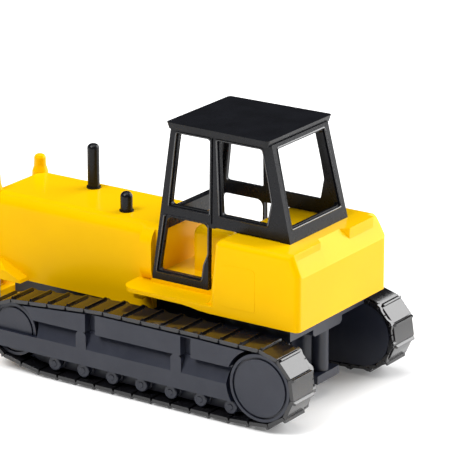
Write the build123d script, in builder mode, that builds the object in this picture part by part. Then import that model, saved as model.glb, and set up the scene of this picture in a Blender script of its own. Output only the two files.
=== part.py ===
from build123d import *
import math
import os

# Toy bulldozer, millimetres.  +X left side, -Y front, +Z up, tracks stand on Z = 0.

# ---------------------------------------------------------------- driving dimensions
HOOD_HALF = 7.25          # hood half width
HOOD_TOP = 24.35          # hood top height
HOOD_FRONT = -26.6        # front face of the hood
HOOD_R = 1.95             # long shoulder radius of the hood
WALL = 1.2                # die-cast wall
COWL_HALF = 8.2           # wider block in front of the cab
COWL_Y0, COWL_Y1 = 3.0, 6.6
STEP_HALF = 12.33         # running board and tank half width
STEP_Z0, STEP_Z1 = 15.15, 15.8
BOARD_Y0 = 2.2            # front tip of the running boards
TANK_Y0, TANK_Y1 = 18.6, 34.25
TANK_Z0, TANK_TOP = 14.65, 26.3
DECK_Y1 = 33.05           # rear face of the deck steps
CAB_T = 0.9               # cab frame thickness
CAB_HALF = 8.1            # cab half width at the door sill
REBATE = 0.25             # depth of the window rebates
CAB_SILL = 16.47
CAB_LEAN = 0.46 / 24.0    # inward lean of the cab sides
ROOF_Z0, ROOF_Z1 = 40.6, 41.65
TRACK_X0, TRACK_X1 = 10.8, 17.0
PITCH_N = 36              # shoes per track
BELT_T = 0.75             # belt thickness under the shoe face
GROUSER_H = 0.45
SPINE_HALF = 4.3          # chassis spine
PIVOT_Y, PIVOT_Z = -8.0, 6.0     # push arm pivot
LIFT_Y, LIFT_Z = -26.26, 3.01    # cross bar the lift rods hold, blade lowered
ROD_Y = -26.38
POST_X, POST_D, POST_TOP = 5.85, 2.2, 27.15
ROD_D = 1.0
AXLE_D = 1.5
RUN = 0.05                # radial clearance of running fits

# circles whose outer hull is the shoe face of a track (y, z, r), counter-clockwise seen
# with Y to the right and Z up
FRONT_C = (-15.0, 6.6, 5.05)
REAR_C = (30.6, 6.85, 6.05)
LOOP = [(-9.0, 4.45, 4.0), (25.0, 4.45, 4.0), REAR_C, (19.4, 9.1, 4.0), (1.4, 9.05, 4.0), FRONT_C]


def tangent(a, b):
    dy, dz = b[0] - a[0], b[1] - a[1]
    L = math.hypot(dy, dz)
    u = (dy / L, dz / L)
    v = (u[1], -u[0])
    k = (a[2] - b[2]) / L
    c = math.sqrt(1 - k * k)
    n = (k * u[0] + c * v[0], k * u[1] + c * v[1])
    return ((a[0] + a[2] * n[0], a[1] + a[2] * n[1]), (b[0] + b[2] * n[0], b[1] + b[2] * n[1]), n)


def loop_segments():
    n = len(LOOP)
    lines = [tangent(LOOP[i], LOOP[(i + 1) % n]) for i in range(n)]
    segs = []
    for i in range(n):
        p, q, nrm = lines[i]
        segs.append(("line", p, q, nrm))
        c = LOOP[(i + 1) % n]
        nxt = lines[(i + 1) % n]
        a0 = math.atan2(nrm[1], nrm[0])
        a1 = math.atan2(nxt[2][1], nxt[2][0])
        while a1 < a0:
            a1 += 2 * math.pi
        segs.append(("arc", c, a0, a1))
    return segs


SEGS = loop_segments()


def seg_len(s):
    if s[0] == "line":
        return math.hypot(s[2][0] - s[1][0], s[2][1] - s[1][1])
    return s[1][2] * (s[3] - s[2])


LENGTH = sum(seg_len(s) for s in SEGS)
PITCH = LENGTH / PITCH_N


def at_path(s, h=0.0):
    """Point at arc length s along the shoe face, h outside it."""
    s = s % LENGTH
    for g in SEGS:
        L = seg_len(g)
        if s <= L + 1e-9:
            if g[0] == "line":
                t = s / L
                y = g[1][0] + (g[2][0] - g[1][0]) * t
                z = g[1][1] + (g[2][1] - g[1][1]) * t
                return (y + g[3][0] * h, z + g[3][1] * h)
            a = g[2] + s / g[1][2]
            r = g[1][2] + h
            return (g[1][0] + r * math.cos(a), g[1][1] + r * math.sin(a))
        s -= L
    raise ValueError("past the end of the loop")


def loop_edges(off):
    """Closed outline of the hull, moved out by off (negative = inside)."""
    cs = [(c[0], c[1], c[2] + off) for c in LOOP]
    n = len(cs)
    lines = [tangent(cs[i], cs[(i + 1) % n]) for i in range(n)]
    for i in range(n):
        Line(lines[i][0], lines[i][1])
        c = cs[(i + 1) % n]
        nrm, nx = lines[i][2], lines[(i + 1) % n][2]
        a0 = math.atan2(nrm[1], nrm[0])
        a1 = math.atan2(nx[1], nx[0])
        while a1 < a0:
            a1 += 2 * math.pi
        am = (a0 + a1) / 2
        ThreePointArc(lines[i][1],
                      (c[0] + c[2] * math.cos(am), c[1] + c[2] * math.sin(am)),
                      lines[(i + 1) % n][0])


def box(x0, x1, y0, y1, z0, z1, mode=Mode.ADD):
    with Locations(((x0 + x1) / 2, (y0 + y1) / 2, (z0 + z1) / 2)):
        return Box(x1 - x0, y1 - y0, z1 - z0, mode=mode)


def rod_x(x0, x1, y, z, r, mode=Mode.ADD):
    with Locations(Location(((x0 + x1) / 2, y, z), (0, 90, 0))):
        return Cylinder(r, x1 - x0, mode=mode)


def rod_z(x, y, z0, z1, r, mode=Mode.ADD):
    with Locations((x, y, (z0 + z1) / 2)):
        return Cylinder(r, z1 - z0, mode=mode)


os.makedirs("parts", exist_ok=True)

# ---------------------------------------------------------------- die-cast body
# rear tank with rounded edges and the sloped rear shoulder
with BuildPart() as tank_shape:
    with BuildSketch(Plane.YZ.offset(-STEP_HALF)) as tank_sk:
        with BuildLine():
            Polyline((TANK_Y0, TANK_Z0), (TANK_Y1, TANK_Z0), (TANK_Y1, 23.2), (33.0, TANK_TOP),
                     (19.5, TANK_TOP), (TANK_Y0, 18.3), (TANK_Y0, TANK_Z0), close=True)
        make_face()
    extrude(amount=2 * STEP_HALF)
    fillet(tank_shape.edges().filter_by(Axis.X).filter_by_position(Axis.Y, 19.0, 20.0), 1.1)
    fillet(tank_shape.faces().filter_by(Axis.X).edges().filter_by_position(Axis.Z, 14.8, 40.0), 0.9)
    # the rear edge of the deck slopes down in the middle
    with BuildSketch(Plane.YZ.offset(-STEP_HALF - 0.1)) as slope_sk:
        with BuildLine():
            Polyline((31.9, 26.3), (31.9, 27.0), (36.0, 27.0), (36.0, 20.19), (31.9, 26.3), close=True)
        make_face()
    extrude(amount=STEP_HALF + 0.1 + 4.5, mode=Mode.SUBTRACT)
    with BuildSketch(Plane.YZ.offset(4.4)) as left_slope_sk:
        with BuildLine():
            Polyline((DECK_Y1, 27.0), (36.0, 27.0), (36.0, 22.8), (TANK_Y1, 22.8), (DECK_Y1, 25.2), (DECK_Y1, 27.0), close=True)
        make_face()
    extrude(amount=7.0, mode=Mode.SUBTRACT)
# hood bar with rounded shoulders
with BuildPart() as hood_shape:
    box(-HOOD_HALF, HOOD_HALF, HOOD_FRONT, 4.6, 11.0, HOOD_TOP)
    fillet(hood_shape.edges().filter_by(Axis.Y).group_by(Axis.Z)[-1], HOOD_R)
    fillet(hood_shape.faces().sort_by(Axis.Y)[0].edges().filter_by_position(Axis.Z, 11.5, 40.0), 0.9)
# wider cowl in front of the cab
with BuildPart() as cowl_shape:
    with BuildSketch(Plane.XZ.offset(-COWL_Y1)) as cowl_sk:
        with Locations((0, (STEP_Z0 + HOOD_TOP) / 2)):
            Rectangle(2 * COWL_HALF, HOOD_TOP - STEP_Z0)
        fillet(cowl_sk.vertices().group_by(Axis.Z)[-1], 2.8)
    extrude(amount=COWL_Y1 - COWL_Y0)
# driver block inside the cab, rounded like an arch
with BuildPart() as block_shape:
    box(-4.2, 4.2, 9.9, 17.4, 17.0, 24.7)
    fillet(block_shape.edges().filter_by(Axis.Z), 1.0)
    fillet(block_shape.faces().sort_by(Axis.Z)[-1].edges(), 1.5)

with BuildPart() as body_shell:
    # hood and the wider cowl, one rounded-shoulder bar each
    add(hood_shape.part)
    add(cowl_shape.part)
    # recess of the cab side panels into the cowl
    for sx in (-1, 1):
        box(min(sx * 7.0, sx * 9.0), max(sx * 7.0, sx * 9.0), 5.15, 7.0, 16.45, 25.0, mode=Mode.SUBTRACT)
    # cab floor and running boards
    box(-8.1, 8.1, 5.15, TANK_Y0 + 1, STEP_Z0, 16.45)
    box(-7.1, 7.1, 5.15, TANK_Y0 + 1, 16.4, 17.6)
    with BuildSketch(Plane.XY.offset(STEP_Z0)) as board:
        with Locations((0, (BOARD_Y0 + TANK_Y0 + 1) / 2)):
            Rectangle(2 * STEP_HALF, TANK_Y0 + 1 - BOARD_Y0)
        fillet(board.vertices().group_by(Axis.Y)[0], 2.4)
    extrude(amount=STEP_Z1 - STEP_Z0)
    # rear tank, with the hollow corner where the running board meets it
    add(tank_shape.part)
    with BuildSketch(Plane.YZ.offset(-STEP_HALF + 0.7)) as root_sk:
        with BuildLine():
            Line((TANK_Y0 - 1.5, STEP_Z1 - 0.1), (TANK_Y0 - 1.5, STEP_Z1))
            ThreePointArc((TANK_Y0 - 1.5, STEP_Z1), (TANK_Y0 - 0.42, STEP_Z1 + 0.44), (TANK_Y0 + 0.02, STEP_Z1 + 1.5))
            Line((TANK_Y0 + 0.02, STEP_Z1 + 1.5), (TANK_Y0 + 0.8, STEP_Z1 + 1.5))
            Line((TANK_Y0 + 0.8, STEP_Z1 + 1.5), (TANK_Y0 + 0.8, STEP_Z1 - 0.1))
            Line((TANK_Y0 + 0.8, STEP_Z1 - 0.1), (TANK_Y0 - 1.5, STEP_Z1 - 0.1))
        make_face()
    extrude(amount=2 * (STEP_HALF - 0.7))
    # the underside runs down from the board to the tank
    with BuildSketch(Plane.YZ.offset(-STEP_HALF)) as under_sk:
        with BuildLine():
            Polyline((13.4, STEP_Z0 + 0.1), (TANK_Y0 + 0.8, STEP_Z0 + 0.1), (TANK_Y0 + 0.8, TANK_Z0), (TANK_Y0, TANK_Z0),
                     (16.6, 14.78), (15.0, 15.02), (13.4, STEP_Z0), (13.4, STEP_Z0 + 0.1), close=True)
        make_face()
    extrude(amount=2 * STEP_HALF)
    # two raised steps of the rear deck, left and right of the sloped middle
    with BuildSketch(Plane.XY.offset(24.3)) as step_sk:
        with BuildLine():
            Polyline((6.0, 30.5), (6.0, DECK_Y1), (4.5, DECK_Y1), (3.7, 32.2), (3.7, 30.5), (6.0, 30.5), close=True)
        make_face()
        with BuildLine():
            Polyline((-10.5, 30.5), (-10.5, DECK_Y1 - 0.4), (-10.2, DECK_Y1), (-3.6, DECK_Y1), (-1.9, 31.35), (-1.9, 30.5),
                     (-10.5, 30.5), close=True)
        make_face()
    extrude(amount=TANK_TOP - 24.3)
    add(block_shape.part)
    # lower skirt of the radiator guard, its upper edge bevelled outwards
    for sx in (-1, 1):
        with BuildSketch(Plane.YZ.offset(6.5 if sx > 0 else -9.5)) as skirt:
            with BuildLine():
                Polyline((-26.4, 11.2), (-26.4, 13.0), (-26.0, 13.5), (-24.0, 13.9), (-22.8, 13.3), (-19.2, 11.6), (-18.9, 11.2),
                         (-26.4, 11.2), close=True)
            make_face()
        extrude(amount=3.0)
        with BuildSketch(Plane.XZ.offset(18.0)) as bevel_sk:
            with BuildLine():
                Polyline((sx * 9.7, 12.6), (sx * 9.7, 14.6), (sx * 7.9, 14.6), (sx * 7.9, 14.0), (sx * 9.7, 12.6), close=True)
            make_face()
        extrude(amount=9.0, mode=Mode.SUBTRACT)
    # gussets under the front tips of the running boards
    for sx in (-1, 1):
        box(min(sx * 7.9, sx * 10.6), max(sx * 7.9, sx * 10.6), 3.6, 5.2, 13.7, STEP_Z0 + 0.2)
    # cavities
    box(-HOOD_HALF + WALL, HOOD_HALF - WALL, HOOD_FRONT + WALL, 5.3, 10.0, HOOD_TOP - WALL, mode=Mode.SUBTRACT)
    with BuildSketch(Plane.YZ.offset(-STEP_HALF + WALL)) as hollow_sk:
        with BuildLine():
            Polyline((TANK_Y0 + WALL, 10.0), (TANK_Y1 - WALL, 10.0), (TANK_Y1 - WALL, 22.6), (31.2, 24.2),
                     (TANK_Y0 + WALL + 0.6, 24.2), (TANK_Y0 + WALL, 18.3), (TANK_Y0 + WALL, 10.0), close=True)
        make_face()
    extrude(amount=2 * (STEP_HALF - WALL), mode=Mode.SUBTRACT)
    box(-6.0, 6.0, 5.0, TANK_Y0 + 2.0, 10.0, STEP_Z1 + 0.5, mode=Mode.SUBTRACT)
    # fixing posts that stand on the chassis
    rod_z(0, -18.0, 12.2, HOOD_TOP - 0.6, 1.9)
    rod_z(0, 24.0, 14.4, 24.8, 1.9)
    for y in (-18.0, 24.0):
        rod_z(0, y, 11.0, 16.6, 0.85, mode=Mode.SUBTRACT)
    # lift cylinder housings at the front corners
    for sx in (-1, 1):
        with BuildSketch(Plane.XZ.offset(-ROD_Y)) as post_sk:
            with BuildLine():
                Polyline((sx * POST_X, 11.0), (sx * (POST_X + POST_D / 2), 11.0), (sx * (POST_X + POST_D / 2), 23.0),
                         (sx * (POST_X + 1.35), 23.6), (sx * (POST_X + 1.3), 24.4), (sx * (POST_X + 1.0), 25.3),
                         (sx * (POST_X + 0.95), POST_TOP - 0.5), (sx * (POST_X + 0.75), POST_TOP - 0.15),
                         (sx * (POST_X + 0.45), POST_TOP), (sx * POST_X, POST_TOP), (sx * POST_X, 11.0), close=True)
            make_face()
        revolve(axis=Axis((sx * POST_X, ROD_Y, 0), (0, 0, 1)))
    for sx in (-1, 1):
        rod_z(sx * POST_X, ROD_Y, 10.0, 25.6, ROD_D / 2 + RUN, mode=Mode.SUBTRACT)
    # sockets of the exhaust and the pre-cleaner
    rod_z(-3.4, -14.0, 22.0, 25.0, 0.65, mode=Mode.SUBTRACT)
    rod_z(3.3, -2.85, 22.0, 25.0, 0.65, mode=Mode.SUBTRACT)
body_shell.part.label = "body_shell"

# ---------------------------------------------------------------- cab frame with roof
nrm = math.hypot(1.0, CAB_LEAN)
side_plane = Plane(origin=(CAB_HALF, 0, CAB_SILL), x_dir=(0, 1, 0), z_dir=(1 / nrm, 0, CAB_LEAN / nrm))


def zl(z):
    return (z - CAB_SILL) * nrm


# openings of one cab side, and the shallow rebates round them
OPENINGS = (
    ((9.9, 39.8), (15.42, 39.8), (15.42, 28.65), (8.55, 28.65)),
    ((7.9, 26.6), (15.3, 26.6), (15.2, 22.1), (14.4, 20.2), (14.1, 18.0), (6.5, 18.0)),
    ((17.1, 39.8), (24.6, 39.8), (25.7, 35.2), (26.35, 32.0), (25.7, 28.6), (17.8, 28.6)),
)
REBATES = (
    ((9.55, 40.1), (15.72, 40.1), (15.72, 28.3), (8.2, 28.3)),
    ((7.45, 26.95), (15.45, 26.95), (15.45, 22.0), (14.7, 20.1), (14.4, 17.65), (6.0, 17.65)),
    ((16.75, 40.1), (24.9, 40.1), (26.0, 35.3), (26.7, 32.0), (26.0, 28.3), (17.4, 28.3)),
)
RADII = (0.45, [1.1, 1.1, 0.4, 0.4, 0.4, 0.4], 0.45)

with BuildPart() as cab_frame:
    with BuildSketch(side_plane) as side_sk:
        with BuildLine():
            Polyline((5.3, zl(CAB_SILL)), (15.5, zl(CAB_SILL)), (15.5, zl(TANK_TOP)), (30.0, zl(TANK_TOP)),
                     (26.5, zl(ROOF_Z0 + 0.2)), (8.6, zl(ROOF_Z0 + 0.2)), close=True)
        make_face()
        for pts, rad in zip(OPENINGS, RADII):
            with BuildLine():
                FilletPolyline(*[(p[0], zl(p[1])) for p in pts], radius=rad, close=True)
            make_face(mode=Mode.SUBTRACT)
    extrude(amount=-CAB_T)
    with BuildSketch(side_plane) as rebate_sk:
        for pts, rad in zip(REBATES, RADII):
            with BuildLine():
                FilletPolyline(*[(p[0], zl(p[1])) for p in pts], radius=rad, close=True)
            make_face()
        with BuildLine():
            Polyline((15.95, zl(26.9)), (16.2, zl(26.9)), (16.2, zl(40.2)), (15.95, zl(40.2)), close=True)
        make_face()
    extrude(amount=-REBATE, mode=Mode.SUBTRACT)
    mirror(about=Plane.YZ)
    # front frame
    lean_f = (8.6 - 5.3) / (40.6 - CAB_SILL)
    nf = math.hypot(1.0, lean_f)
    front_plane = Plane(origin=(0, 5.3, CAB_SILL), x_dir=(1, 0, 0), z_dir=(0, -1 / nf, lean_f / nf))
    with BuildSketch(front_plane) as front_sk:
        with BuildLine():
            Polyline((-7.75, (HOOD_TOP + 0.02 - CAB_SILL) * nf), (7.75, (HOOD_TOP + 0.02 - CAB_SILL) * nf),
                     (7.5, (40.8 - CAB_SILL) * nf), (-7.5, (40.8 - CAB_SILL) * nf), close=True)
        make_face()
        with BuildLine():
            FilletPolyline((-6.3, (27.2 - CAB_SILL) * nf), (6.3, (27.2 - CAB_SILL) * nf),
                           (5.9, (39.8 - CAB_SILL) * nf), (-5.9, (39.8 - CAB_SILL) * nf), radius=0.5, close=True)
        make_face(mode=Mode.SUBTRACT)
    extrude(amount=-CAB_T)
    # rear frame
    lean_r = (30.0 - 26.5) / (40.8 - TANK_TOP)
    nr = math.hypot(1.0, lean_r)
    rear_plane = Plane(origin=(0, 30.0, TANK_TOP), x_dir=(-1, 0, 0), z_dir=(0, 1 / nr, lean_r / nr))
    with BuildSketch(rear_plane) as rear_sk:
        with BuildLine():
            Polyline((-7.8, 0.02), (7.8, 0.02), (7.5, (40.8 - TANK_TOP) * nr), (-7.5, (40.8 - TANK_TOP) * nr), close=True)
        make_face()
        with BuildLine():
            FilletPolyline((-6.45, (28.55 - TANK_TOP) * nr), (6.45, (28.55 - TANK_TOP) * nr),
                           (6.1, (39.9 - TANK_TOP) * nr), (-6.1, (39.9 - TANK_TOP) * nr), radius=0.5, close=True)
        make_face(mode=Mode.SUBTRACT)
    extrude(amount=-CAB_T)
    with BuildSketch(rear_plane) as rear_rebate:
        with BuildLine():
            FilletPolyline((-6.8, (28.2 - TANK_TOP) * nr), (6.8, (28.2 - TANK_TOP) * nr),
                           (6.45, (40.2 - TANK_TOP) * nr), (-6.45, (40.2 - TANK_TOP) * nr), radius=0.5, close=True)
        make_face()
    extrude(amount=-REBATE, mode=Mode.SUBTRACT)
    # flat seats on the deck and on the hood
    box(-9.0, 9.0, 15.6, 31.0, 24.0, TANK_TOP, mode=Mode.SUBTRACT)
    # shadow gap under the side sills
    for sx in (-1, 1):
        box(min(sx * 7.45, sx * 9.0), max(sx * 7.45, sx * 9.0), 16.6, 28.2, 26.0, TANK_TOP + 0.25, mode=Mode.SUBTRACT)
    box(-6.95, 6.95, 4.0, 8.0, 16.0, HOOD_TOP, mode=Mode.SUBTRACT)
    # roof plate
    with BuildSketch(Plane.XY.offset(ROOF_Z1)) as roof_sk:
        with BuildLine():
            Polyline((-8.5, 8.2), (8.5, 8.2), (8.82, 26.6), (-8.82, 26.6), close=True)
        make_face()
        fillet(roof_sk.vertices(), 0.6)
    extrude(amount=ROOF_Z0 - ROOF_Z1, taper=18)
cab_frame.part.label = "cab_frame"

# ---------------------------------------------------------------- stacks on the hood
with BuildPart() as exhaust_stack:
    rod_z(-3.4, -14.0, HOOD_TOP, 31.55, 0.95)
    fillet(exhaust_stack.edges().group_by(Axis.Z)[-1], 0.7)
    rod_z(-3.4, -14.0, HOOD_TOP, HOOD_TOP + 0.28, 1.15)
    rod_z(-3.4, -14.0, HOOD_TOP - 1.1, HOOD_TOP + 0.1, 0.6)
exhaust_stack.part.label = "exhaust_stack"

with BuildPart() as air_precleaner:
    rod_z(3.3, -2.85, HOOD_TOP, 27.5, 0.95)
    fillet(air_precleaner.edges().group_by(Axis.Z)[-1], 0.85)
    rod_z(3.3, -2.85, HOOD_TOP, HOOD_TOP + 0.22, 1.12)
    rod_z(3.3, -2.85, HOOD_TOP - 1.1, HOOD_TOP + 0.1, 0.6)
air_precleaner.part.label = "air_precleaner"

# ---------------------------------------------------------------- chassis with the tow hitch
with BuildPart() as chassis:
    box(-SPINE_HALF, SPINE_HALF, -24.0, 28.0, 2.6, 12.2)
    box(-5.9, 5.9, -24.0, 5.0, 11.2, 12.2)
    box(-5.8, 5.8, 5.0, TANK_Y0 + 1.4, 12.0, 14.4)
    box(-10.3, 10.3, TANK_Y0 + 1.4, 31.6, 12.2, 14.4)
    # cross beams carrying the track frames
    box(-10.9, 10.9, -4.5, 1.5, 6.5, 10.5)
    box(-10.9, 10.9, 15.0, 21.0, 6.5, 10.5)
    # tow hitch: upper lug, pin, lower lug
    with BuildSketch(Plane.XZ.offset(-27.5)) as lug_sk:
        with BuildLine():
            FilletPolyline((-4.0, 13.0), (4.0, 13.0), (4.0, 11.0), (-4.0, 11.0), radius=[0.1, 0.1, 0.7, 0.7], close=True)
        make_face()
    extrude(amount=-4.1)
    box(-3.0, 3.0, 27.5, 31.8, 3.2, 4.5)
    rod_z(0, 30.3, 4.4, 11.2, 1.3)
    # holes
    rod_x(-6, 6, PIVOT_Y, PIVOT_Z, 0.75, mode=Mode.SUBTRACT)
    for y in (-18.0, 24.0):
        rod_z(0, y, 2.0, 15.0, 0.85, mode=Mode.SUBTRACT)
chassis.part.label = "chassis"

with BuildPart() as rivets:
    for y in (-18.0, 24.0):
        rod_z(0, y, 2.0, 2.6, 1.6)
        rod_z(0, y, 2.5, 16.2, 0.8)
rivets.part.label = "rivets"

with BuildPart() as blade_pivot_pin:
    rod_x(-8.5, 8.5, PIVOT_Y, PIVOT_Z, 0.75)
blade_pivot_pin.part.label = "blade_pivot_pin"

# ---------------------------------------------------------------- track frames
with BuildPart() as track_frame_left:
    with BuildSketch(Plane.YZ.offset(10.9)) as plate_sk:
        with BuildLine():
            loop_edges(-BELT_T - 0.2)
        make_face()
    extrude(amount=0.7)
    with BuildSketch(Plane.YZ.offset(11.5)) as beam_sk:
        with BuildLine():
            loop_edges(-BELT_T - 0.12)
        make_face()
        with Locations((FRONT_C[0], FRONT_C[1])):
            Circle(4.85, mode=Mode.SUBTRACT)
        with Locations((FRONT_C[0] - 6, FRONT_C[1])):
            Rectangle(12, 14, mode=Mode.SUBTRACT)
        with Locations((REAR_C[0], REAR_C[1])):
            Circle(5.85, mode=Mode.SUBTRACT)
        with Locations((REAR_C[0] + 6, REAR_C[1])):
            Rectangle(12, 16, mode=Mode.SUBTRACT)
    extrude(amount=TRACK_X1 - 11.5)
    # plate that carries the lower bar forward across the idler
    with BuildSketch(Plane.YZ.offset(16.4)) as bar_sk:
        with BuildLine():
            loop_edges(-BELT_T - 0.2)
        make_face()
        with Locations((-14.6, 5.0)):
            Rectangle(9.6, 2.6, mode=Mode.INTERSECT)
    extrude(amount=TRACK_X1 - 16.4)
    # undercut band and sloped shelf, and the roller space under the lower bar
    with BuildSketch(Plane.XZ.offset(25.0)) as shelf_sk:
        with BuildLine():
            Polyline((18.0, 9.05), (15.8, 9.05), (15.8, 8.7), (17.0, 6.35), (18.0, 6.35), (18.0, 9.05), close=True)
        make_face()
    extrude(amount=-60.0, mode=Mode.SUBTRACT)
    box(14.6, 18.0, -20.0, 40.0, 0.0, 3.7, mode=Mode.SUBTRACT)
    # black notches in the upper band, bracket posts under them
    for y in (0.0, 17.5):
        box(15.6, 18.0, y - 0.9, y + 0.95, 9.0, 12.1, mode=Mode.SUBTRACT)
        with BuildSketch(Plane.YZ.offset(15.7)) as post_foot:
            with BuildLine():
                FilletPolyline((y - 2.7, 6.0), (y - 0.8, 6.0), (y - 0.8, 9.1), (y - 2.7, 9.1),
                               radius=[0.05, 0.05, 0.8, 0.8], close=True)
            make_face()
        extrude(amount=TRACK_X1 - 15.7)
    # stub axles
    rod_x(11.0, 15.8, FRONT_C[0], FRONT_C[1], AXLE_D / 2)
    rod_x(11.0, 16.4, REAR_C[0], REAR_C[1], AXLE_D / 2)
track_frame_left.part.label = "track_frame_left"

with BuildPart() as track_frame_right:
    add(mirror(track_frame_left.part, about=Plane.YZ))
track_frame_right.part.label = "track_frame_right"


# ---------------------------------------------------------------- track belts
def belt_outline():
    pts = []
    for i in range(PITCH_N):
        s = i * PITCH
        for ds, h in ((0.08, -0.3), (0.08, 0.0), (0.55, 0.0), (0.62, GROUSER_H), (1.0, GROUSER_H), (1.07, 0.0),
                      (PITCH * 0.5, 0.0), (PITCH * 0.78, 0.0), (PITCH - 0.08, 0.0), (PITCH - 0.08, -0.3)):
            pts.append(at_path(s + ds, h))
    return pts


with BuildPart() as track_left:
    with BuildSketch(Plane.YZ.offset(TRACK_X0)) as belt_sk:
        with BuildLine():
            Polyline(*belt_outline(), close=True)
        make_face()
    extrude(amount=TRACK_X1 - TRACK_X0)
    with BuildSketch(Plane.YZ.offset(TRACK_X0 - 1)) as belt_in:
        with BuildLine():
            loop_edges(-BELT_T)
        make_face()
    extrude(amount=TRACK_X1 - TRACK_X0 + 2, mode=Mode.SUBTRACT)
track_left.part.label = "track_left"

with BuildPart() as track_right:
    add(mirror(track_left.part, about=Plane.YZ))
track_right.part.label = "track_right"


# ---------------------------------------------------------------- wheels
def wheel(c, x1, sx):
    r = c[2] - BELT_T - 0.08
    with BuildPart() as w:
        rod_x(11.75, x1, c[0], c[1], r)
        # shallow ring groove round the hub face
        rod_x(x1 - 0.35, x1 + 1.0, c[0], c[1], r - 0.45, mode=Mode.SUBTRACT)
        rod_x(x1 - 0.45, x1, c[0], c[1], r - 0.8)
        rod_x(11.0, x1 - 0.4, c[0], c[1], AXLE_D / 2 + RUN, mode=Mode.SUBTRACT)
    return w.part if sx > 0 else mirror(w.part, about=Plane.YZ)


with BuildPart() as rear_wheel_left:
    add(wheel(REAR_C, 16.9, 1))
rear_wheel_left.part.label = "rear_wheel_left"
with BuildPart() as rear_wheel_right:
    add(wheel(REAR_C, 16.9, -1))
rear_wheel_right.part.label = "rear_wheel_right"
with BuildPart() as front_idler_left:
    add(wheel(FRONT_C, 16.3, 1))
front_idler_left.part.label = "front_idler_left"
with BuildPart() as front_idler_right:
    add(wheel(FRONT_C, 16.3, -1))
front_idler_right.part.label = "front_idler_right"

# ---------------------------------------------------------------- blade and its frame
ARM_X0, ARM_X1 = 6.6, 8.1
with BuildPart() as push_arm_left:
    with BuildSketch(Plane.YZ.offset(ARM_X0)) as arm_sk:
        with BuildLine():
            Polyline((PIVOT_Y, PIVOT_Z + 1.3), (-20.0, 5.6), (-26.3, 4.6), (-30.6, 4.2), (-30.6, 1.4),
                     (-26.0, 1.6), (-20.0, 2.6), (PIVOT_Y, PIVOT_Z - 1.3), close=True)
        make_face()
        with Locations((PIVOT_Y, PIVOT_Z)):
            Circle(1.5)
        with Locations((PIVOT_Y, PIVOT_Z)):
            Circle(0.75 + RUN, mode=Mode.SUBTRACT)
    extrude(amount=ARM_X1 - ARM_X0)
    rod_x(ARM_X0 - 1, ARM_X1 - 0.4, LIFT_Y, LIFT_Z, 0.5, mode=Mode.SUBTRACT)
push_arm_left.part.label = "push_arm_left"
with BuildPart() as push_arm_right:
    add(mirror(push_arm_left.part, about=Plane.YZ))
push_arm_right.part.label = "push_arm_right"

with BuildPart() as lift_crossbar:
    rod_x(-ARM_X1 + 0.4, ARM_X1 - 0.4, LIFT_Y, LIFT_Z, 0.5)
lift_crossbar.part.label = "lift_crossbar"

with BuildPart() as blade:
    # curved mouldboard section
    with BuildSketch(Plane.YZ.offset(-18.4)) as mould_sk:
        with BuildLine():
            l1 = ThreePointArc((-36.9, 0.3), (-34.0, 6.6), (-36.0, 13.6))
            l2 = Line(l1 @ 1, (-35.2, 13.9))
            l3 = ThreePointArc(l2 @ 1, (-32.7, 7.2), (-34.6, 0.3))
            l4 = Line(l3 @ 1, l1 @ 0)
        make_face()
    extrude(amount=36.8)
    # cutting edge
    box(-18.4, 18.4, -37.07, -35.4, 0.0, 1.0)
    # rear box rib and arm lugs
    box(-15.0, 15.0, -33.4, -31.4, 1.2, 4.4)
    for sx in (-1, 1):
        box(min(sx * 5.4, sx * 8.6), max(sx * 5.4, sx * 8.6), -31.6, -30.6, 1.2, 4.4)
        box(min(sx * 17.6, sx * 18.4), max(sx * 17.6, sx * 18.4), -36.9, -34.5, 0.3, 13.7)
blade.part.label = "blade"

with BuildPart() as lift_rod_left:
    rod_z(POST_X, ROD_Y, LIFT_Z + 0.9, LIFT_Z + 15.6, ROD_D / 2)
    rod_x(POST_X - 0.55, POST_X + 0.55, ROD_Y, LIFT_Z, 1.3)
    rod_x(POST_X - 2.0, POST_X + 2.0, ROD_Y, LIFT_Z, 0.78, mode=Mode.SUBTRACT)
lift_rod_left.part.label = "lift_rod_left"
with BuildPart() as lift_rod_right:
    add(mirror(lift_rod_left.part, about=Plane.YZ))
lift_rod_right.part.label = "lift_rod_right"

for p in (body_shell, cab_frame, exhaust_stack, air_precleaner, chassis, rivets, blade_pivot_pin,
          track_frame_left, track_frame_right, track_left, track_right,
          rear_wheel_left, rear_wheel_right, front_idler_left, front_idler_right,
          push_arm_left, push_arm_right, lift_crossbar, blade, lift_rod_left, lift_rod_right):
    name = p.part.label
    bb = p.part.bounding_box()
    print(f"{name:20s} solids {len(p.part.solids())} vol {p.part.volume:9.2f}  "
          f"x {bb.min.X:7.2f} {bb.max.X:7.2f}  y {bb.min.Y:7.2f} {bb.max.Y:7.2f}  z {bb.min.Z:7.2f} {bb.max.Z:7.2f}")
    export_step(p.part, f"parts/{name}.step")
print("track length", round(LENGTH, 3), "pitch", round(PITCH, 3))
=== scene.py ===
import bpy
import bmesh
import math
from mathutils import Vector, Matrix


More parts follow.
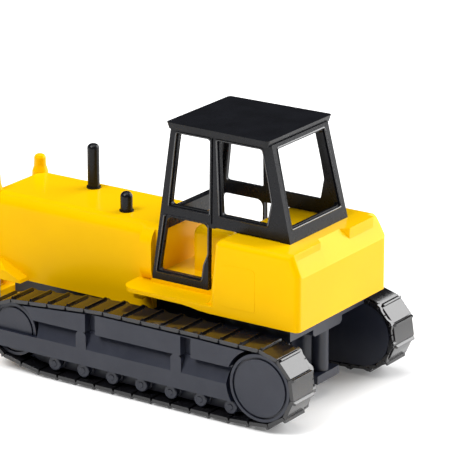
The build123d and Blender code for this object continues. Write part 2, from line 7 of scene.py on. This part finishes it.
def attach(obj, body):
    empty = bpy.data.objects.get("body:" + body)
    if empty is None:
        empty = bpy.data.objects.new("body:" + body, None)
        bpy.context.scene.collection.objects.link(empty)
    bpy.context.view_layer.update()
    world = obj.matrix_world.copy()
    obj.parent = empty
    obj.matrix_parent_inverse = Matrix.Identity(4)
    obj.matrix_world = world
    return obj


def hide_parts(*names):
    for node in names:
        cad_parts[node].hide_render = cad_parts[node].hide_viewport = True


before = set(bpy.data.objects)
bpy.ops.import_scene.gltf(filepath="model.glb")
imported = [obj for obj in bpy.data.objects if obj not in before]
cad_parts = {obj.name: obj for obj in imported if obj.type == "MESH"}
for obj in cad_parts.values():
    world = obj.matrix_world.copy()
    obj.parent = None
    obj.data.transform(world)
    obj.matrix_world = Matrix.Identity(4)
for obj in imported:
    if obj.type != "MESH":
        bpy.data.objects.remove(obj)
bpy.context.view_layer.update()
MM = 0.001


# ------------------------------------------------------------------ node material helper
def new_mat(name):
    m = bpy.data.materials.new(name)
    m.use_nodes = True
    nt = m.node_tree
    nt.nodes.clear()
    out = nt.nodes.new("ShaderNodeOutputMaterial")
    p = nt.nodes.new("ShaderNodeBsdfPrincipled")
    nt.links.new(p.outputs[0], out.inputs[0])
    return m, nt, p


def noise(nt, scale, detail=4.0, rough=0.5, coord=None):
    n = nt.nodes.new("ShaderNodeTexNoise")
    n.inputs["Scale"].default_value = scale
    n.inputs["Detail"].default_value = detail
    n.inputs["Roughness"].default_value = rough
    if coord is not None:
        nt.links.new(coord, n.inputs["Vector"])
    return n


def ramp(nt, src, stops):
    r = nt.nodes.new("ShaderNodeValToRGB")
    nt.links.new(src, r.inputs[0])
    el = r.color_ramp.elements
    el[0].position, el[0].color = stops[0]
    el[1].position, el[1].color = stops[-1]
    for pos, col in stops[1:-1]:
        e = el.new(pos)
        e.color = col
    return r


def rgba(c):
    return (c[0], c[1], c[2], 1.0)


def maprange(nt, src, a, b):
    r = nt.nodes.new("ShaderNodeMapRange")
    nt.links.new(src, r.inputs[0])
    r.inputs[3].default_value = a
    r.inputs[4].default_value = b
    return r


def paint(name, c_lo, c_mid, c_hi, c_top_lit, rough, coat, peel=0.00002):
    m, nt, p = new_mat(name)
    tc = nt.nodes.new("ShaderNodeTexCoord")
    big = noise(nt, 90, 3, 0.5, tc.outputs["Object"])
    col = ramp(nt, big.outputs["Fac"], [(0.3, rgba(c_lo)), (0.5, rgba(c_mid)), (0.7, rgba(c_hi))])
    # Painted light: faces that point skyward are blended toward a separate, less orange yellow that stands in for the
    # top light falling on them.
    sep = nt.nodes.new("ShaderNodeSeparateXYZ")
    nt.links.new(tc.outputs["Normal"], sep.inputs[0])
    top_lit_mask = nt.nodes.new("ShaderNodeMapRange")
    nt.links.new(sep.outputs[2], top_lit_mask.inputs[0])
    top_lit_mask.inputs[1].default_value = 0.1
    top_lit_mask.inputs[2].default_value = 0.85
    top_lit_mix = nt.nodes.new("ShaderNodeMix")
    top_lit_mix.data_type = "RGBA"
    nt.links.new(top_lit_mask.outputs[0], top_lit_mix.inputs[0])
    nt.links.new(col.outputs[0], top_lit_mix.inputs[6])
    top_lit_mix.inputs[7].default_value = rgba(c_top_lit)
    nt.links.new(top_lit_mix.outputs[2], p.inputs["Base Color"])
    fine = noise(nt, 900, 3, 0.6, tc.outputs["Object"])
    rr = maprange(nt, fine.outputs["Fac"], rough * 0.85, rough * 1.2)
    nt.links.new(rr.outputs[0], p.inputs["Roughness"])
    p.inputs["Specular IOR Level"].default_value = 0.2
    p.inputs["Specular Tint"].default_value = (1.0, 0.75, 0.08, 1)
    p.inputs["Coat Weight"].default_value = coat
    p.inputs["Coat Roughness"].default_value = 0.07
    orange = noise(nt, 620, 2, 0.45, tc.outputs["Object"])
    b = nt.nodes.new("ShaderNodeBump")
    b.inputs["Strength"].default_value = 0.35
    b.inputs["Distance"].default_value = peel
    nt.links.new(orange.outputs["Fac"], b.inputs["Height"])
    nt.links.new(b.outputs[0], p.inputs["Normal"])
    return m


def plastic(name, c_lo, c_hi, r_lo, r_hi, grain_scale, grain, spec=0.5, coat=0.0):
    m, nt, p = new_mat(name)
    tc = nt.nodes.new("ShaderNodeTexCoord")
    big = noise(nt, 260, 4, 0.55, tc.outputs["Object"])
    col = ramp(nt, big.outputs["Fac"], [(0.3, rgba(c_lo)), (0.72, rgba(c_hi))])
    nt.links.new(col.outputs[0], p.inputs["Base Color"])
    mid = noise(nt, 700, 3, 0.6, tc.outputs["Object"])
    rr = maprange(nt, mid.outputs["Fac"], r_lo, r_hi)
    nt.links.new(rr.outputs[0], p.inputs["Roughness"])
    p.inputs["Specular IOR Level"].default_value = spec
    p.inputs["Coat Weight"].default_value = coat
    fine = noise(nt, grain_scale, 3, 0.6, tc.outputs["Object"])
    b = nt.nodes.new("ShaderNodeBump")
    b.inputs["Strength"].default_value = 0.5
    b.inputs["Distance"].default_value = grain
    nt.links.new(fine.outputs["Fac"], b.inputs["Height"])
    nt.links.new(b.outputs[0], p.inputs["Normal"])
    return m


def steel(name):
    m, nt, p = new_mat(name)
    tc = nt.nodes.new("ShaderNodeTexCoord")
    mp = nt.nodes.new("ShaderNodeMapping")
    mp.inputs["Scale"].default_value = (1, 1, 14)
    nt.links.new(tc.outputs["Object"], mp.inputs[0])
    n = noise(nt, 700, 4, 0.6, mp.outputs[0])
    col = ramp(nt, n.outputs["Fac"], [(0.3, (0.42, 0.42, 0.44, 1)), (0.7, (0.62, 0.62, 0.63, 1))])
    nt.links.new(col.outputs[0], p.inputs["Base Color"])
    p.inputs["Metallic"].default_value = 1.0
    rr = maprange(nt, n.outputs["Fac"], 0.25, 0.42)
    nt.links.new(rr.outputs[0], p.inputs["Roughness"])
    return m


# Painted light: the last colour is a less orange yellow for faces pointing skyward, standing in for the top light on
# them.
M_YELLOW = paint("paint_yellow", (0.85, 0.46, 0.0), (0.87, 0.48, 0.0), (0.89, 0.495, 0.0),
                 (0.79, 0.46, 0.0), 0.22, 0.0)
M_BLACK = plastic("plastic_black", (0.0035, 0.0038, 0.0055), (0.006, 0.0065, 0.009), 0.22, 0.34, 1600, 0.00002, 0.22)
M_GREY = plastic("plastic_grey", (0.010, 0.0125, 0.024), (0.017, 0.0195, 0.032), 0.30, 0.44, 1400, 0.00003)
M_TRACK = plastic("plastic_track", (0.005, 0.005, 0.006), (0.009, 0.0085, 0.010), 0.10, 0.20, 1500, 0.00001, 0.70)
M_STEEL = steel("steel_wire")
# Painted highlight: the bead plastic is the cab's black made about three times lighter so the beads read as light rim
# lines; its higher gloss and coat are not painted.
M_BEAD_LIGHTENED = plastic("plastic_black_bead_painted_highlight", (0.010, 0.0105, 0.013), (0.016, 0.0165, 0.020), 0.16, 0.26, 1600, 0.00001, 0.9)

NODE_MAT = {
    "body_shell": M_YELLOW, "blade": M_YELLOW,
    "cab_frame": M_BLACK, "exhaust_stack": M_BLACK, "air_precleaner": M_BLACK,
    "chassis": M_GREY, "track_frame_left": M_GREY, "track_frame_right": M_GREY,
    "rear_wheel_left": M_GREY, "rear_wheel_right": M_GREY, "front_idler_left": M_GREY, "front_idler_right": M_GREY,
    "push_arm_left": M_GREY, "push_arm_right": M_GREY,
    "track_left": M_TRACK, "track_right": M_TRACK,
    "rivets": M_STEEL, "blade_pivot_pin": M_STEEL, "lift_crossbar": M_STEEL,
    "lift_rod_left": M_STEEL, "lift_rod_right": M_STEEL,
}
for name, mat in NODE_MAT.items():
    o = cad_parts[name]
    o.data.materials.clear()
    o.data.materials.append(mat)
    bev = o.modifiers.new("edge", "BEVEL")
    bev.width = 0.00012
    bev.segments = 2
    bev.limit_method = "ANGLE"
    bev.angle_limit = math.radians(35)
    bev.harden_normals = True

# ------------------------------------------------------------------ mesh helpers, millimetres
def finish_mesh(name, bm, mat, body, bevel=0.06, segs=2):
    bmesh.ops.recalc_face_normals(bm, faces=bm.faces)
    me = bpy.data.meshes.new(name)
    bm.to_mesh(me)
    bm.free()
    me.materials.append(mat)
    me.shade_smooth()
    me.set_sharp_from_angle(angle=math.radians(32))
    o = bpy.data.objects.new(name, me)
    bpy.context.scene.collection.objects.link(o)
    if bevel:
        b = o.modifiers.new("edge", "BEVEL")
        b.width = bevel * MM
        b.segments = segs
        b.limit_method = "ANGLE"
        b.angle_limit = math.radians(32)
        b.harden_normals = True
    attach(o, body)
    return o


def prism(bm, pts, x0, x1):
    """Closed solid between two copies of a (y, z) outline."""
    a = [bm.verts.new((x0 * MM, y * MM, z * MM)) for y, z in pts]
    b = [bm.verts.new((x1 * MM, y * MM, z * MM)) for y, z in pts]
    bm.faces.new(a)
    bm.faces.new(list(reversed(b)))
    n = len(pts)
    for i in range(n):
        j = (i + 1) % n
        bm.faces.new((a[i], a[j], b[j], b[i]))


def lathe_x(bm, profile, y, z, sx, seg=40):
    """Turns an (x, r) profile about the line along X through (y, z)."""
    rings = []
    for x, r in profile:
        if r < 1e-6:
            rings.append([bm.verts.new((sx * x * MM, y * MM, z * MM))])
        else:
            rings.append([bm.verts.new((sx * x * MM, (y + r * math.cos(2 * math.pi * k / seg)) * MM,
                                        (z + r * math.sin(2 * math.pi * k / seg)) * MM)) for k in range(seg)])
    for p, q in zip(rings, rings[1:]):
        for k in range(seg):
            m = (k + 1) % seg
            if len(p) == 1:
                bm.faces.new((p[0], q[k], q[m]))
            elif len(q) == 1:
                bm.faces.new((p[k], q[0], p[m]))
            else:
                bm.faces.new((p[k], q[k], q[m], p[m]))


# ------------------------------------------------------------------ track loop, as in the CAD
BELT_LOOP = [(-9.0, 4.45, 4.0), (25.0, 4.45, 4.0), (30.6, 6.85, 6.05), (19.4, 9.1, 4.0), (1.4, 9.05, 4.0), (-15.0, 6.6, 5.05)]
SHOES = 36


def tangent(a, b):
    dy, dz = b[0] - a[0], b[1] - a[1]
    L = math.hypot(dy, dz)
    u = (dy / L, dz / L)
    v = (u[1], -u[0])
    k = (a[2] - b[2]) / L
    c = math.sqrt(1 - k * k)
    n = (k * u[0] + c * v[0], k * u[1] + c * v[1])
    return ((a[0] + a[2] * n[0], a[1] + a[2] * n[1]), (b[0] + b[2] * n[0], b[1] + b[2] * n[1]), n)


LINES = [tangent(BELT_LOOP[i], BELT_LOOP[(i + 1) % 6]) for i in range(6)]
SEGS = []
for i in range(6):
    SEGS.append(("line",) + LINES[i])
    a0 = math.atan2(LINES[i][2][1], LINES[i][2][0])
    nx = LINES[(i + 1) % 6][2]
    a1 = math.atan2(nx[1], nx[0])
    while a1 < a0:
        a1 += 2 * math.pi
    SEGS.append(("arc", BELT_LOOP[(i + 1) % 6], a0, a1))


def seg_len(s):
    if s[0] == "line":
        return math.hypot(s[2][0] - s[1][0], s[2][1] - s[1][1])
    return s[1][2] * (s[3] - s[2])


LENGTH = sum(seg_len(s) for s in SEGS)
PITCH = LENGTH / SHOES


def at_path(s, h=0.0):
    s = s % LENGTH
    for g in SEGS:
        L = seg_len(g)
        if s <= L + 1e-9:
            if g[0] == "line":
                t = s / L
                return (g[1][0] + (g[2][0] - g[1][0]) * t + g[3][0] * h, g[1][1] + (g[2][1] - g[1][1]) * t + g[3][1] * h)
            a = g[2] + s / g[1][2]
            r = g[1][2] + h
            return (g[1][0] + r * math.cos(a), g[1][1] + r * math.sin(a))
        s -= L
    return at_path(0.0, h)


PLATE_X0, PLATE_X1 = 11.6, 17.0
PHASE = 2.42
PLATE_T = 0.6
GROUSER = 0.38


def track(sx, node):
    shoes = bmesh.new()
    links = bmesh.new()
    for i in range(SHOES):
        c = i * PITCH + PHASE
        a = at_path(c + 0.30)
        b = at_path(c + PITCH + 0.18)
        L = math.hypot(b[0] - a[0], b[1] - a[1])
        e = ((b[0] - a[0]) / L, (b[1] - a[1]) / L)
        n = (e[1], -e[0])

        def loc(t, h):
            return (a[0] + e[0] * t + n[0] * h, a[1] + e[1] * t + n[1] * h)

        prism(shoes, [loc(0.16, -PLATE_T), loc(0.0, -0.12), loc(0.0, -0.03), loc(0.05, 0.0), loc(L - 0.05, 0.0),
                      loc(L, -0.05), loc(L, -0.12), loc(L - 0.16, -PLATE_T)], sx * PLATE_X0, sx * PLATE_X1)
        # grouser bar with sloped flanks and ends
        lo = [loc(L - 0.52, -0.05), loc(L - 0.02, -0.05)]
        hi = [loc(L - 0.42, GROUSER), loc(L - 0.14, GROUSER)]
        v = []
        for x, pts in ((PLATE_X0 + 0.02, lo), (PLATE_X1 - 0.01, lo), (PLATE_X0 + 0.14, hi), (PLATE_X1 - 0.22, hi)):
            v.append([shoes.verts.new((sx * x * MM, p[0] * MM, p[1] * MM)) for p in pts])
        (a0, a1), (b0, b1), (c0, c1), (d0, d1) = v
        for f in ((a0, b0, b1, a1), (c0, c1, d1, d0), (a0, a1, c1, c0), (b0, d0, d1, b1), (a0, c0, d0, b0), (a1, b1, d1, c1)):
            shoes.faces.new(f)
        # chain link with a raised tooth at its joint
        h = PITCH / 2
        prof = [(-h + 0.07, -0.76), (-h + 0.07, -0.42), (-0.95, -0.36), (-0.3, -0.02), (0.3, -0.02), (0.95, -0.36),
                (h - 0.07, -0.42), (h - 0.07, -0.76)]
        prism(links, [at_path(c + 0.24 + ds, hh) for ds, hh in prof], sx * 10.95, sx * 11.9)
        # link pin head on the inner side
        y, z = at_path(c + 0.24, -0.42)
        lathe_x(links, [(10.84, 0.0), (10.84, 0.2), (10.9, 0.26), (11.05, 0.26)], y, z, sx, 12)
    side = "left" if sx > 0 else "right"
    o = finish_mesh("track_shoes_" + side, shoes, M_TRACK, "machine", 0.045)
    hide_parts(node)
    finish_mesh("track_links_" + side, links, M_TRACK, "machine", 0.03, 1)


track(1, "track_left")
track(-1, "track_right")

# ------------------------------------------------------------------ rollers under the track frames
for sx, side in ((1, "left"), (-1, "right")):
    bm = bmesh.new()
    for k in range(7):
        y = -7.4 + k * 5.4
        lathe_x(bm, [(14.55, 0.0), (14.55, 1.0), (14.62, 1.12), (14.95, 1.12), (15.02, 0.92), (15.75, 0.92), (15.82, 1.12),
                     (16.15, 1.12), (16.25, 1.0), (16.25, 0.5), (16.34, 0.42), (16.34, 0.0)], y, 2.5, sx, 36)
    finish_mesh("track_rollers_" + side, bm, M_GREY, "machine", 0.0)

# ------------------------------------------------------------------ blade: bolt heads, ribs behind
def circle3(p, q, r):
    ax, ay, bx, by, cx, cy = *p, *q, *r
    d = 2 * (ax * (by - cy) + bx * (cy - ay) + cx * (ay - by))
    ux = ((ax * ax + ay * ay) * (by - cy) + (bx * bx + by * by) * (cy - ay) + (cx * cx + cy * cy) * (ay - by)) / d
    uy = ((ax * ax + ay * ay) * (cx - bx) + (bx * bx + by * by) * (ax - cx) + (cx * cx + cy * cy) * (bx - ax)) / d
    return (ux, uy), math.hypot(ax - ux, ay - uy)


FRONT_ARC = circle3((-36.9, 0.3), (-34.0, 6.6), (-36.0, 13.6))
BACK_ARC = circle3((-35.2, 13.9), (-32.7, 7.2), (-34.6, 0.3))


def arc_y(arc, z, off=0.0):
    (cy, cz), r = arc
    return cy + math.sqrt((r + off) ** 2 - (z - cz) ** 2)


bm = bmesh.new()
seg = 20
for k in range(9):
    x = -16.0 + 4.0 * k
    z0 = 1.95
    y0 = arc_y(FRONT_ARC, z0)
    (cy, cz), r = FRONT_ARC
    n = Vector((0, cy - y0, cz - z0)).normalized()
    t1 = Vector((1, 0, 0))
    t2 = n.cross(t1)
    base = Vector((x, y0, z0))
    rings = []
    for h, rad in ((-0.15, 0.42), (0.05, 0.42), (0.16, 0.36), (0.22, 0.22)):
        rings.append([bm.verts.new((base + n * h + (t1 * math.cos(2 * math.pi * j / seg) + t2 * math.sin(2 * math.pi * j / seg)) * rad) * MM)
                      for j in range(seg)])
    for p, q in zip(rings, rings[1:]):
        for j in range(seg):
            m = (j + 1) % seg
            bm.faces.new((p[j], q[j], q[m], p[m]))
    bm.faces.new(rings[-1])
    bm.faces.new(list(reversed(rings[0])))
finish_mesh("blade_edge_bolts", bm, M_STEEL, "blade_frame", 0.0)

bm = bmesh.new()
for x in (-12.2, -4.2, 4.2, 12.2):
    zs = [4.6 + 0.85 * i for i in range(11)]
    inner = [(arc_y(BACK_ARC, z, -0.15), z) for z in zs]
    outer = [(arc_y(BACK_ARC, z, 0.65 if 0 < i < 10 else 0.1), z) for i, z in enumerate(zs)]
    prism(bm, inner + outer[::-1], x - 0.4, x + 0.4)
finish_mesh("blade_back_ribs", bm, M_YELLOW, "blade_frame", 0.08)

# ------------------------------------------------------------------ radiator louvres cast on the front of the hood
bm = bmesh.new()
for k in range(8):
    z = 14.6 + k * 1.0
    prism(bm, [(-26.45, z), (-26.62, z), (-26.95, z + 0.18), (-26.95, z + 0.34), (-26.62, z + 0.62), (-26.45, z + 0.62)], -4.1, 4.1)
for x in (-4.45, 4.1):
    prism(bm, [(-26.4, 14.1), (-27.0, 14.1), (-27.0, 23.0), (-26.4, 23.0)], x, x + 0.35)
for z in (13.8, 22.8):
    prism(bm, [(-26.4, z), (-27.0, z), (-27.0, z + 0.4), (-26.4, z + 0.4)], -4.45, 4.45)
finish_mesh("radiator_louvres", bm, M_YELLOW, "machine", 0.07)

# ------------------------------------------------------------------ heads on the push arm pivots
bm = bmesh.new()
for sx in (1, -1):
    lathe_x(bm, [(8.2, 0.0), (8.2, 1.15), (8.55, 1.15), (8.8, 1.0), (8.95, 0.7), (9.0, 0.0)], -8.0, 6.0, sx, 36)
finish_mesh("pivot_heads", bm, M_STEEL, "machine", 0.0)

# ------------------------------------------------------------------ moulded beads round the cab openings
def ring_bead(bm, pts, put, r, seg=8, sub=3, corner=0.35):
    """Closed bead along a flat outline; put(u, v, n) gives the point for in-plane u, v and height n."""
    smooth = []
    m = len(pts)
    for i in range(m):
        p, q, s = Vector(pts[i - 1]), Vector(pts[i]), Vector(pts[(i + 1) % m])
        d1, d2 = (p - q), (s - q)
        c = min(corner, d1.length * 0.4, d2.length * 0.4)
        a, b = q + d1.normalized() * c, q + d2.normalized() * c
        for k in range(sub + 1):
            t = k / sub
            smooth.append(a * (1 - t) ** 2 + q * 2 * t * (1 - t) + b * t * t)
    n = len(smooth)
    rings = []
    for i in range(n):
        t1 = (smooth[i] - smooth[i - 1]).normalized()
        t2 = (smooth[(i + 1) % n] - smooth[i]).normalized()
        t = (t1 + t2).normalized()
        nrm = Vector((t.y, -t.x))
        w = 1.0 / max(0.5, t.dot(t2))
        rings.append([bm.verts.new(Vector(put(smooth[i].x + nrm.x * math.cos(a) * r * w, smooth[i].y + nrm.y * math.cos(a) * r * w,
                                              math.sin(a) * r)) * MM)
                      for a in (2 * math.pi * k / seg for k in range(seg))])
    for i in range(n):
        p, q = rings[i], rings[(i + 1) % n]
        for k in range(seg):
            j = (k + 1) % seg
            bm.faces.new((p[k], q[k], q[j], p[j]))


LEAN = 0.46 / 24.0
SIDE_OPENINGS = (
    ((9.55, 40.1), (15.72, 40.1), (15.72, 28.3), (8.2, 28.3)),
    ((7.45, 26.95), (15.45, 26.95), (15.45, 22.0), (14.7, 20.1), (14.4, 17.65), (6.0, 17.65)),
    ((16.75, 40.1), (24.9, 40.1), (26.0, 35.3), (26.7, 32.0), (26.0, 28.3), (17.4, 28.3)),
)
for sx, side in ((1, "left"), (-1, "right")):
    bm = bmesh.new()
    for pts in SIDE_OPENINGS:
        ring_bead(bm, pts, lambda u, v, n: (sx * (8.1 - (v - 16.47) * LEAN - 0.02 + n), u, v), 0.13)
    finish_mesh("cab_beads_" + side, bm, M_BEAD_LIGHTENED, "machine", 0.0)
bm = bmesh.new()
REAR_LEAN = 3.5 / 14.5
ring_bead(bm, ((-6.8, 28.2), (6.8, 28.2), (6.45, 40.2), (-6.45, 40.2)),
          lambda u, v, n: (u, 30.0 - (v - 26.3) * REAR_LEAN - 0.02 + n, v), 0.13)
FRONT_LEAN = 3.3 / 24.13
ring_bead(bm, ((-6.3, 27.2), (6.3, 27.2), (5.9, 39.8), (-5.9, 39.8)),
          lambda u, v, n: (u, 5.3 + (v - 16.47) * FRONT_LEAN + 0.02 - n, v), 0.13)
finish_mesh("cab_beads_ends", bm, M_BEAD_LIGHTENED, "machine", 0.0)

# ------------------------------------------------------------------ slightly raised panels on the tank sides
for sx, side in ((1, "left"), (-1, "right")):
    bm = bmesh.new()
    prism(bm, [(20.4, 16.6), (20.7, 16.3), (26.4, 16.3), (26.7, 16.6), (26.7, 22.3), (26.5, 22.7), (26.1, 22.9), (21.0, 22.9),
               (20.6, 22.7), (20.4, 22.3)], sx * 12.25, sx * 12.385)
    finish_mesh("tank_panel_" + side, bm, M_YELLOW, "machine", 0.05, 2)

# ------------------------------------------------------------------ camera
BACK = Vector((0.78754918, 0.5302692, 0.31397589))
RIGHT = Vector((-0.55851265, 0.829496, 0.0))
UP = Vector((-0.26044174, -0.1753595, 0.94943096))
cam_data = bpy.data.cameras.new("camera")
cam_data.sensor_width = 36.0
cam_data.lens = 245.7626
cam_data.clip_start = 0.01
cam_data.clip_end = 10.0
cam = bpy.data.objects.new("camera", cam_data)
bpy.context.scene.collection.objects.link(cam)
loc = Vector((378.20733275, 251.81384824 + 17.4, 174.25985604 + 0.65)) * MM
rot = Matrix((RIGHT, UP, BACK)).transposed()
cam.matrix_world = Matrix.Translation(loc) @ rot.to_4x4()
bpy.context.scene.camera = cam

# ------------------------------------------------------------------ floor, world, lights
me = bpy.data.meshes.new("floor")
bm = bmesh.new()
bmesh.ops.create_grid(bm, x_segments=1, y_segments=1, size=3.0)
bm.to_mesh(me)
bm.free()
floor = bpy.data.objects.new("floor", me)
bpy.context.scene.collection.objects.link(floor)
mf, ntf, pf = new_mat("floor_pale")
tcf = ntf.nodes.new("ShaderNodeTexCoord")
nf = noise(ntf, 12, 3, 0.5, tcf.outputs["Object"])
cf = ramp(ntf, nf.outputs["Fac"], [(0.3, (0.90, 0.90, 0.90, 1)), (0.7, (0.93, 0.93, 0.93, 1))])
ntf.links.new(cf.outputs[0], pf.inputs["Base Color"])
pf.inputs["Roughness"].default_value = 0.9
pf.inputs["Emission Color"].default_value = (1.0, 1.0, 1.0, 1)
# the sweep of the studio floor fades to white far from the model
far = ntf.nodes.new("ShaderNodeVectorMath")
far.operation = "LENGTH"
ntf.links.new(tcf.outputs["Object"], far.inputs[0])
glow = ntf.nodes.new("ShaderNodeMapRange")
glow.inputs[1].default_value = 0.35
glow.inputs[2].default_value = 1.0
glow.inputs[3].default_value = 0.12
glow.inputs[4].default_value = 1.0
ntf.links.new(far.outputs["Value"], glow.inputs[0])
ntf.links.new(glow.outputs[0], pf.inputs["Emission Strength"])
pf.inputs["Specular IOR Level"].default_value = 0.1
me.materials.append(mf)

scene = bpy.context.scene
scene.view_settings.view_transform = "Standard"
scene.view_settings.look = "None"
scene.view_settings.exposure = 0.0
world = bpy.data.worlds.new("world")
world.use_nodes = True
world.node_tree.nodes["Background"].inputs[0].default_value = (1.0, 1.0, 1.0, 1)
# white backdrop behind the model, dim surroundings for the light
wt = world.node_tree
lp = wt.nodes.new("ShaderNodeLightPath")
wr = wt.nodes.new("ShaderNodeMapRange")
wr.inputs[3].default_value = 0.03
wr.inputs[4].default_value = 1.0
wt.links.new(lp.outputs["Is Camera Ray"], wr.inputs[0])
wt.links.new(wr.outputs[0], wt.nodes["Background"].inputs[1])
scene.world = world


def area(name, at, target, size, radiance, size_y=None):
    d = bpy.data.lights.new(name, "AREA")
    d.shape = "RECTANGLE"
    d.size = size
    d.size_y = size_y or size
    d.energy = radiance * math.pi * d.size * d.size_y
    o = bpy.data.objects.new(name, d)
    scene.collection.objects.link(o)
    o.location = at
    v = Vector(target) - Vector(at)
    o.rotation_euler = v.to_track_quat("-Z", "Y").to_euler()
    o.visible_camera = False
    return o


area("top_box", (0.05, 0.05, 1.0), (0, 0, 0.0), 1.1, 2.45)
area("side_box", (0.50, -0.16, 0.68), (0, 0, 0.02), 0.42, 9.8)
area("rear_box", (-0.62, 0.42, 0.36), (0, 0, 0.02), 0.8, 6.2, 0.6)
